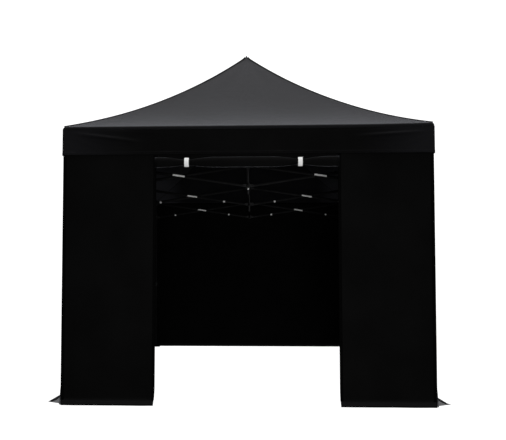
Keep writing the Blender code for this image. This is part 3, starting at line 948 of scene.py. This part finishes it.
# Valance
# A loop of the same cloth, 0.23 m deep, sewn under the fold of the eave. Its hem is turned up and
# stitched twice, and the pull of the corners leaves shallow creases.

VALANCE_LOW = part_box("valance_front")[0].z
VALANCE_TOP = EAVE_HEIGHT - 0.014
HEM = 0.025
HEM_STEP = 0.0010


def fade_in(distance, over):
    """0 at no distance, and 1 from the distance over on."""
    return np.clip(distance / over, 0, 1)


def fade_out(distance, over):
    """1 at no distance, and 0 from the distance over on."""
    return np.clip(1 - distance / over, 0, 1)


def waves(*rows):
    """Waves added up. A row has a height, a length, the distance along, and a phase."""
    return sum(
        high * np.sin(2 * math.pi * along / length + phase) for high, length, along, phase in rows
    )


def crease(u, v, start, end, height, width):
    """A pulled crease between two points of the cloth: a low ridge that fades out at both ends."""
    run = np.subtract(end, start)
    length = math.hypot(*run)
    along = ((u - start[0]) * run[0] + (v - start[1]) * run[1]) / length**2
    off = ((u - start[0]) * run[1] - (v - start[1]) * run[0]) / length
    return height * np.sin(math.pi * np.clip(along, 0, 1)) * np.exp(-((off / width) ** 2))


WALL_CLOTH_TONES = ("#050505", "#080808")
# The valance's colour is painted lighter from 0.8 m out towards the sides, so its ends and sides
# are lighter: a painted highlight where the corners catch the light.
VALANCE_CLOTH = coated_polyester(
    "coated_polyester_valance",
    *WALL_CLOTH_TONES,
    0.06,
    dust_and_painted_light=("X", 0.80, 1.50, "#141416"),
    seams=[("Y", HEM - 0.003), ("Y", 0.006)],
)
band = round_plan(150, 226)
band_x, band_y = (
    band[k] * (half - HIP_ROUND) + band[k + 2] * HIP_ROUND for k, half in ((0, EAVE_X), (1, EAVE_Y))
)
around = lengths_along(np.stack([band_x, band_y], axis=-1))
deep = VALANCE_TOP - VALANCE_LOW
rising = np.array([0, 0.012, HEM - 0.0008, HEM, *np.linspace(0.032, deep, 34)])
u, v = np.meshgrid(around, rising)
loose = fade_out(v, deep - 0.02) ** 1.3
wave = waves((0.0018, 0.41, u, 0.6), (0.0022, 0.93, u, 2.0), (0.0010, 0.19, u, 4.0 * v))
lift = loose * (wave + 0.002) + HEM_STEP * (v < HEM - 0.0004)
turning = np.abs(np.diff(np.arctan2(band[3], band[2]))) > 0.01
straight = np.maximum(np.abs(band[2]), np.abs(band[3])) > 0.999
for start in (0, *around[:-1][turning & straight[1:]]):
    for sign, drop, fall in ((-1, 0.045, 0.082), (1, 0.036, 0.118)):
        # Each crease starts near a corner and falls along the cloth, by distances from the top.
        for near, upper, far, lower, height, width in (
            (0.05, drop, 0.66, fall, 0.018, 0.015),
            (0.05, 0.060, 0.30, deep - 0.050, 0.004, 0.018),
            (0.03, 0.012, 0.95, 0.045, 0.003, 0.012),
        ):
            near_end = (start + sign * near, deep - upper)
            far_end = (start + sign * far, deep - lower)
            lift += crease(u, v, near_end, far_end, height, width)
lift = lift * fade_in(deep - v, 0.02)
valance_points = np.stack([band_x + band[2] * lift, band_y + band[3] * lift, VALANCE_LOW + v], -1)
valance = add_cloth(
    "valance",
    cloth_mesh(around, rising, valance_points, closed=True),
    (VALANCE_CLOTH, "wall_cloth"),
    stands_for=[f"valance_{side}" for side in ("front", "rear", "left", "right")],
)


# Front, rear and side walls
# Curtains of the same cloth, hemmed and zipped together at the corners. They hang from the eave,
# the end walls kick outwards a little at the hem, and the side walls sweep out along the ground.

WALL_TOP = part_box("rear_wall")[1].z
HALF_X = -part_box("front_wall_left")[0].x
HALF_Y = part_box("rear_wall")[1].y
SIDE_X = HALF_X + SOLID_CLOTH + GAP
DOOR_CLEAR = 0.006
DOOR_HALF = -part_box("front_wall_left")[1].x - DOOR_CLEAR
OFF_GROUND = 0.001
WALL_HEM = 0.040
KICK = 0.012
KICK_HIGH = 0.060
EDGE_TAPE = 0.011
EDGE_TAPE_THICK = 0.0008
FOLD_SHALLOW = 0.0025
FOLD_CALM = 0.12
FOLD_TOP_CALM = 0.25
DOOR_DRIFT = 0.010
CORNER_PULL_LEFT = 0.010
CORNER_PULL_RIGHT = 0.005
CORNER_PULL_HIGH = 0.14
CORNER_PULL_WIDE = 0.15
LEAN = 0.010
FLARE_HIGH = 0.15
FLARE_AT_END = 0.012
FLARE_STARTS = 0.05
FLARE_OPENS = 0.130
FLARE_BACK = 0.018
FLARE_PAINTED_HIGHLIGHT = 0.112
BAY_SEAM = 0.75
CORNER_ROWS = 0.2
# The walls turn paler over their lowest 70 mm: dust, and a painted highlight on the foot that leans
# out into the light.
DUST_AND_PAINTED_LIGHT_FOOT = ("Z", 0.07, 0, "#161617")

WALL_CLOTH = coated_polyester(
    "coated_polyester_wall",
    *WALL_CLOTH_TONES,
    0.03,
    dust_and_painted_light=DUST_AND_PAINTED_LIGHT_FOOT,
    seams=[("Y", WALL_HEM - 0.004), ("Y", WALL_HEM - 0.010)],
)
SIDE_CLOTH = coated_polyester(
    "coated_polyester_side_wall",
    *WALL_CLOTH_TONES,
    0.03,
    dust_and_painted_light=DUST_AND_PAINTED_LIGHT_FOOT,
    seams=[("X", side * BAY_SEAM + shift) for side in (-1, 1) for shift in (-0.004, 0.004)],
)
# The swept-out foot beside the corners is painted lighter, and pale towards the ground: a painted
# highlight for the light from the floor on the flared cloth.
FOOT_PAINTED_HIGHLIGHT_CLOTH = coated_polyester(
    "coated_polyester_foot_painted_highlight", "#0a0a0b", "#0e0e0f", 0.24, dust_and_painted_light=("Z", 0.095, 0.02, "#7c7c7e")
)


def soft_folds(u, v, seed):
    """Shallow upright folds that deepen towards the ground, all to the outside, 0 to 1."""
    return 0.5 + 0.5 * waves(
        (0.45, 0.47, u + 0.05 * np.sin(2.1 * v + seed), seed),
        (0.35, 0.29, u - 0.03 * np.sin(3.0 * v), 2.3 * seed),
        (0.20, 0.61, 0.5 * u + 0.35 * v, 1.7 * seed),
    )


def end_wall(facing, seed, free_edge=None):
    """Gives the function for places on an end wall: u is x, v the height along the cloth."""

    def surface(u, v, lift=0.0):
        fade = fade_in(HALF_X - np.abs(u), FOLD_CALM)
        if free_edge is not None:
            fade = fade * (0.35 + 0.65 * fade_in(np.abs(u - free_edge), 0.10))
        down = fade_out(v, WALL_TOP)
        depth = (FOLD_SHALLOW + 0.0045 * down) * fade_in(WALL_TOP - v, FOLD_TOP_CALM)
        kick = KICK * fade_out(v, KICK_HIGH) ** 1.6
        out = HALF_Y - SOLID_CLOTH / 2 + depth * fade * soft_folds(u, v, seed) + kick
        out = out + HEM_STEP * (v < WALL_HEM - 0.0005) + lift
        x = u * (1 + LEAN / HALF_X * down)
        if free_edge is not None:
            beside = np.abs(u - free_edge)
            drift = math.copysign(DOOR_DRIFT - LEAN * DOOR_HALF / HALF_X, free_edge)
            x = x + drift * fade_out(beside, 0.5) * down
            # The lower corner beside the doorway is pulled sideways by its hem.
            corner = fade_out(v, CORNER_PULL_HIGH) ** 1.5 * fade_out(beside, CORNER_PULL_WIDE)
            x = x + (CORNER_PULL_RIGHT if free_edge > 0 else -CORNER_PULL_LEFT) * corner
        return np.stack([x, facing * out, v + OFF_GROUND], axis=-1)

    return surface


front_line = np.linspace(DOOR_HALF, HALF_X, 50)
rear_line = np.linspace(-HALF_X, HALF_X, 151)
low_rows = [0, 0.010, 0.020, 0.030, WALL_HEM - 0.001, WALL_HEM]
tape_rows = np.array([0, EDGE_TAPE / 2, EDGE_TAPE])
end_walls = {}
for node, u_line, steps, surface in (
    ("front_wall_left", -front_line[::-1], 110, end_wall(-1, 0.4, -DOOR_HALF)),
    ("front_wall_right", front_line, 110, end_wall(-1, 1.9, DOOR_HALF)),
    ("rear_wall", rear_line, 90, end_wall(1, 3.1)),
):
    rows = np.array([*low_rows, *np.linspace(0.050, WALL_TOP, steps)])
    mesh = cloth_mesh(u_line, rows, surface(*np.meshgrid(u_line, rows)))
    wall = add_cloth(f"{node}_cloth", mesh, (WALL_CLOTH, "wall_cloth"), stands_for=[node])
    # A narrow binding is sewn over the lower edge.
    points = surface(*np.meshgrid(u_line, tape_rows), CLOTH / 2 + 0.0006)
    mesh = cloth_mesh(u_line, tape_rows, points)
    tape = add_cloth(f"{node}_edge_tape", mesh, BINDING, EDGE_TAPE_THICK)
    end_walls[node] = (wall, float(u_line[-1] - u_line[0]), surface, [tape])


def side_wall_points(u, v, facing, seed, full_reach, full_curve):
    """Places on a side wall: u is y, v the height above the ground."""
    from_end = HALF_Y - np.abs(u)
    reach = full_reach - FLARE_AT_END
    reach = FLARE_AT_END + reach * fade_in(from_end - FLARE_STARTS, FLARE_OPENS - FLARE_STARTS)
    reach = reach - 0.010 * (0.5 + 0.5 * np.sin(5.1 * u + seed)) * fade_in(from_end - 0.2, 0.3)
    reach = reach - FLARE_BACK * fade_in(from_end - FLARE_OPENS, 0.02) * (facing > 0)
    low = fade_out(v, FLARE_HIGH)
    sweep = FLARE_AT_END * low + (reach - FLARE_AT_END) * low**full_curve
    fade = fade_in(from_end, FOLD_CALM)
    down = fade_out(v, WALL_TOP)
    depth = (FOLD_SHALLOW + 0.0050 * down) * fade_in(WALL_TOP - v, FOLD_TOP_CALM)
    depth = depth * fade_in(v, 0.05) * fade * soft_folds(u, v, seed)
    out = SIDE_X - SOLID_CLOTH / 2 + LEAN * down + depth + sweep
    return np.stack([facing * out, u, v + OFF_GROUND], axis=-1)


near_end = np.linspace(0, CORNER_ROWS, 21)
between = np.linspace(CORNER_ROWS - HALF_Y, HALF_Y - CORNER_ROWS, 140)
u_line = np.unique(np.concatenate([near_end - HALF_Y, between, HALF_Y - near_end]))
low_rows = FLARE_HIGH * np.linspace(0, 1, 20) ** 1.7
u, v = np.meshgrid(u_line, [*low_rows, *np.linspace(0.18, WALL_TOP, 80)])
for side, facing, seed, full_reach, full_curve in (
    ("left", -1, 0.9, 0.145, 4.1),
    ("right", 1, 2.6, 0.149, 4.6),
):
    points = side_wall_points(u, v, facing, seed, full_reach, full_curve)
    rows = lengths_along(points[:, len(u_line) // 2])
    mesh = cloth_mesh(u_line, rows, points)
    side_finish = (SIDE_CLOTH, "wall_cloth")
    wall = add_cloth(f"{side}_wall_cloth", mesh, side_finish, stands_for=[f"{side}_wall"])
    # The flared faces beside the corners take the painted highlight.
    mesh.materials.append(FOOT_PAINTED_HIGHLIGHT_CLOTH)
    for face in mesh.polygons:
        if HALF_Y - abs(face.center.y) < FLARE_PAINTED_HIGHLIGHT and face.center.z < FLARE_HIGH:
            face.material_index = 1


# Zips
# Black coil zips on 22 mm tape. They join the walls at the corners, where they are closed, and
# run up both edges of the doorway, where half of each hangs open beside its slider.

TAPE = 0.022
TAPE_THICK = 0.0008
COIL_RADIUS = 0.0022
TOOTH = 0.004
SLIDER_WIDE = 0.011
SLIDER_LONG = 0.016
PULL_WIDE = 0.006
PULL_LONG = 0.032
DOOR_SLIDER_HEIGHT = 1.995
CORNER_SLIDER_HEIGHT = 0.075


def ribbed(name, source, axis, pitch, dark, light, finish, relief):
    """A material with ribs across one axis of the room, or of the cloth's own UVs."""
    material, tree, places = empty_material(name)
    along = add_node(tree, "SeparateXYZ", {"Vector": places[source]}).outputs[axis]
    rib = {"Value": wave_along(tree, along, pitch), "From Min": -1.0}
    level = add_node(tree, "MapRange", rib).outputs["Result"]
    add_surface(tree, dark, [(level, light)], [(level, *relief)], finish)
    return material


# Nylon coil and its tape: satin black, with the coil's 2 mm pitch drawn at 4 mm.
satin = {"Roughness": 0.8, "Specular IOR Level": 0.02}
tooth = ("Object", "Z", TOOTH)
ZIP = (
    ribbed("nylon_coil_zip", *tooth, "#020202", "#050505", satin, (0.4, 0.0006)),
    "wall_cloth",
)
zip_rows = np.linspace(0.045, WALL_TOP - 0.02, 90)


def add_zip(name, surface, edge, inner, slider_height):
    """Tape from edge to inner across the wall, a coil on the edge, and a slider with its pull."""
    across = np.linspace(edge, inner, 4)
    points = surface(*np.meshgrid(across, zip_rows), CLOTH / 2 + TAPE_THICK)
    tape = cloth_mesh(across, zip_rows, points)
    pieces = [add_cloth(f"{name}_tape", tape, ZIP, TAPE_THICK)]
    middle = surface(edge, slider_height, CLOTH / 2 + COIL_RADIUS)
    out = Vector(surface(edge, slider_height, 1.0) - middle).normalized()
    place = placed(Vector(middle), UP.cross(out), UP, out)
    body = prism(round_rectangle(SLIDER_WIDE / 2, SLIDER_LONG / 2, 0.003), place, -0.002, 0.003)
    pull_low = (SLIDER_LONG + PULL_LONG) / 2 - 0.002
    hanging = [(a, b - pull_low) for a, b in round_rectangle(PULL_WIDE / 2, PULL_LONG / 2, 0.0025)]
    pull = prism(hanging, place, 0.0034, 0.0050, 0.0004)
    bar = prism(round_rectangle(0.002, 0.006, 0.0015), place, 0.0028, 0.0056, 0.0004)
    pieces.append(add_piece(f"{name}_slider", joined_mesh([body, pull, bar]), STEEL))
    line = surface(np.full_like(zip_rows, edge), zip_rows, CLOTH / 2 + COIL_RADIUS * 0.8)
    coil = cord_mesh(line, COIL_RADIUS, standing=True)
    pieces.append(add_piece(f"{name}_coil", coil, ZIP, sharp=60))
    return pieces


corner_edge = HALF_X - COIL_RADIUS
for name, node, edge, inward, slider_height in (
    ("door_zip_left", "front_wall_left", -DOOR_HALF, -1, DOOR_SLIDER_HEIGHT),
    ("corner_zip_front_left", "front_wall_left", -corner_edge, 1, CORNER_SLIDER_HEIGHT),
    ("door_zip_right", "front_wall_right", DOOR_HALF, 1, DOOR_SLIDER_HEIGHT),
    ("corner_zip_front_right", "front_wall_right", corner_edge, -1, CORNER_SLIDER_HEIGHT),
    ("corner_zip_rear_left", "rear_wall", -corner_edge, 1, CORNER_SLIDER_HEIGHT),
    ("corner_zip_rear_right", "rear_wall", corner_edge, -1, CORNER_SLIDER_HEIGHT),
):
    wall, width, surface, pieces = end_walls[node]
    pieces += add_zip(name, surface, edge, edge + inward * TAPE, slider_height)


# Rolled door
# The door panel is rolled up outwards from its hem into about a dozen turns. The cloth that it
# hangs from comes down behind it. The straps squeeze it, and it swells again between them.

ROLL_LOW, ROLL_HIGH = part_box("door_roll")
STRAP_X = [middle_of(f"door_strap_{side}")[0] for side, x_side in SIDES]
ROLL_Y, ROLL_HEIGHT = middle_of("door_strap_left")[1:]
ROLL_HALF_HEIGHT = ROLL_HEIGHT - ROLL_LOW.z
ROLL_HALF_DEPTH = ROLL_Y - ROLL_LOW.y
ROLL_CORE = 0.15
ROLL_PITCH = 0.0028
ROLL_TIED = 0.50
ROLL_CLOTH = 0.0011
TURN_STEPS = 22
TIE_WIDTH = 0.115
GATHERS = 7
LIP_REACH = 0.80
HEADER_BEND = ROLL_HEIGHT + 0.055

DOOR_CLOTH = coated_polyester("coated_polyester_door", *WALL_CLOTH_TONES, 0.24)
half_door = ROLL_HIGH.x
stations = {*np.linspace(-half_door, half_door, 61).tolist()}
for strap in STRAP_X:
    stations.update((strap + np.linspace(-0.12, 0.12, 17)).tolist())
u_line = np.array(sorted(stations))
squeeze = sum(np.exp(-(((u_line - strap) / TIE_WIDTH) ** 2)) for strap in STRAP_X)
size = 1 - (1 - ROLL_TIED) * squeeze
header_y = -HALF_Y + SOLID_CLOTH / 2
leave = np.arccos(np.clip((header_y - ROLL_Y) / (ROLL_HALF_DEPTH * size), -1, 1))
turns = ROLL_HALF_HEIGHT * (1 - ROLL_CORE) / ROLL_PITCH
rows = []
for wound_out in np.linspace(0, 1, int(turns * TURN_STEPS)):
    part = ROLL_CORE + (1 - ROLL_CORE) * wound_out
    angle = leave - 2 * math.pi * turns * (1 - wound_out)
    gathers = 1 + 0.05 * squeeze * np.sin(GATHERS * angle) * wound_out
    across = np.cos(angle) * part * gathers
    above = np.sin(angle) * part * gathers
    # The turns hang a little loose between the straps, so their undersides slump to the outside
    # and form a lip.
    below = fade_in(-np.sin(angle) - 0.5, 0.5) ** 1.4
    lip = np.where(np.cos(angle) < 0, below, fade_out(np.cos(angle), 0.7) * (np.sin(angle) < 0))
    lip = lip * (1 - squeeze)
    across = across * (1 - lip) - LIP_REACH * part * lip
    y = ROLL_Y + ROLL_HALF_DEPTH * size * across
    z = ROLL_HEIGHT + ROLL_HALF_HEIGHT * size * above
    rows.append(np.stack([u_line, y, z], axis=-1))
outer = rows[-1]
for part in np.linspace(0, 1, 5)[1:]:
    y = outer[:, 1] + (header_y - outer[:, 1]) * part
    z = outer[:, 2] + (HEADER_BEND - outer[:, 2]) * part
    rows.append(np.stack([u_line, y, z], axis=-1))
for height in np.linspace(HEADER_BEND, WALL_TOP, 8)[1:]:
    level = np.full_like(u_line, height)
    rows.append(np.stack([u_line, np.full_like(u_line, header_y), level], axis=-1))
roll_points = np.array(rows)
roll_length = lengths_along(roll_points[:, len(u_line) // 2])
mesh = cloth_mesh(u_line, roll_length, roll_points)
door_finish = (DOOR_CLOTH, "wall_cloth")
door_roll = add_cloth("door_panel_rolled", mesh, door_finish, ROLL_CLOTH, ["door_roll"])


# Door straps
# Two closed loops of white polypropylene webbing, 36 mm wide and 2 mm thick. They go round the
# roll and squeeze it to about half its size, so the door stays up.

STRAP_LOW, STRAP_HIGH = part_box("door_strap_left")
STRAP_WIDE = STRAP_HIGH.x - STRAP_LOW.x
STRAP_THICK = 0.002
STRAP_HALF_HEIGHT = (STRAP_HIGH.z - STRAP_LOW.z) / 2 - STRAP_THICK / 2
STRAP_HALF_DEPTH = ROLL_HALF_DEPTH * ROLL_TIED + STRAP_THICK
STRAP_CROWN = 0.02
RIB = 0.004


# Flat woven tape: bright white, matt and ribbed across, with its 1.5 mm ribs drawn at 4 mm.
matt = {"Roughness": 0.75}
rib = ("UV", "X", RIB)
WEBBING = (
    ribbed("white_polypropylene_webbing", *rib, "#f2f2f0", "#ffffff", matt, (0.5, 0.0004)),
    "strap_webbing",
)
for (side, x_side), strap in zip(SIDES, STRAP_X):
    across = np.linspace(-STRAP_WIDE / 2, STRAP_WIDE / 2, 7)
    turn = np.linspace(0, 2 * math.pi, 49)
    t, u = np.meshgrid(turn, across)
    crown = 1 - STRAP_CROWN * (2 * u / STRAP_WIDE) ** 2
    y = ROLL_Y + STRAP_HALF_DEPTH * crown * np.cos(t)
    z = ROLL_HEIGHT + STRAP_HALF_HEIGHT * crown * np.sin(t)
    points = np.stack([strap + u, y, z], axis=-1)
    mesh = cloth_mesh(turn * STRAP_HALF_HEIGHT, across, points, closed=True)
    node = f"door_strap_{side}"
    add_cloth(f"{node}_webbing", mesh, WEBBING, STRAP_THICK, [node])


# Studio
# A white floor that glows like a light table, an even white room and a soft light overhead. The
# camera stands about 4.8 m in front of the door, low, as in the photograph.

FLOOR_HALF = 30
WHITE = (1, 1, 1, 1)


def add_glow(tree, emitter, end, dim):
    """Pure white to the camera, and a dim white light to everything else."""
    seen = add_node(tree, "LightPath").outputs["Is Camera Ray"]
    levels = {0: seen}
    for socket, strength in ((2, 1.2), (1, dim)):
        glow = add_node(tree, emitter, {"Color": WHITE, "Strength": strength})
        levels[socket] = glow.outputs[0]
    mixed = add_node(tree, "MixShader", levels)
    add_node(tree, end, {"Surface": mixed.outputs[0]})


floor_mesh = bpy.data.meshes.new("studio_floor")
corners = [(x * FLOOR_HALF, y * FLOOR_HALF, 0) for x, y in ((-1, -1), (1, -1), (1, 1), (-1, 1))]
floor_mesh.from_pydata(corners, [], [(0, 1, 2, 3)])
floor_material, tree, places = empty_material("white_light_table")
add_glow(tree, "Emission", "OutputMaterial", 0.15)
floor_mesh.materials.append(floor_material)
floor = bpy.data.objects.new("studio_floor", floor_mesh)
bpy.context.scene.collection.objects.link(floor)

world = bpy.data.worlds.new("studio")
world.use_nodes = True
world.node_tree.nodes.clear()
add_glow(world.node_tree, "Background", "OutputWorld", 0.35)
bpy.context.scene.world = world


def add_softbox(name, place, aim, width, watts):
    lamp = bpy.data.lights.new(name, "AREA")
    lamp.shape = "SQUARE"
    lamp.size = width
    lamp.energy = watts
    box = bpy.data.objects.new(name, lamp)
    box.location = place
    box.rotation_euler = (Vector(aim) - Vector(place)).to_track_quat("-Z", "Y").to_euler()
    bpy.context.scene.collection.objects.link(box)


add_softbox("softbox_overhead", (0, -0.6, 8), (0, -0.6, 0), 7, 600)
add_softbox("softbox_front", (0.3, -8.2, 0.7), (0, 0, 2), 1.2, 150)

camera_data = bpy.data.cameras.new("camera")
camera_data.sensor_width = 36
camera_data.lens = 42.17
camera_data.shift_x = 0.0409
camera_data.shift_y = 0.0924
camera_data.clip_end = 100
camera = bpy.data.objects.new("camera", camera_data)
camera.location = (0.056, -7.0217, 0.9852)
camera.rotation_euler = (math.pi / 2 + 0.0277, 0, 0.036)
bpy.context.scene.collection.objects.link(camera)
bpy.context.scene.camera = camera
bpy.context.scene.view_settings.view_transform = "Standard"
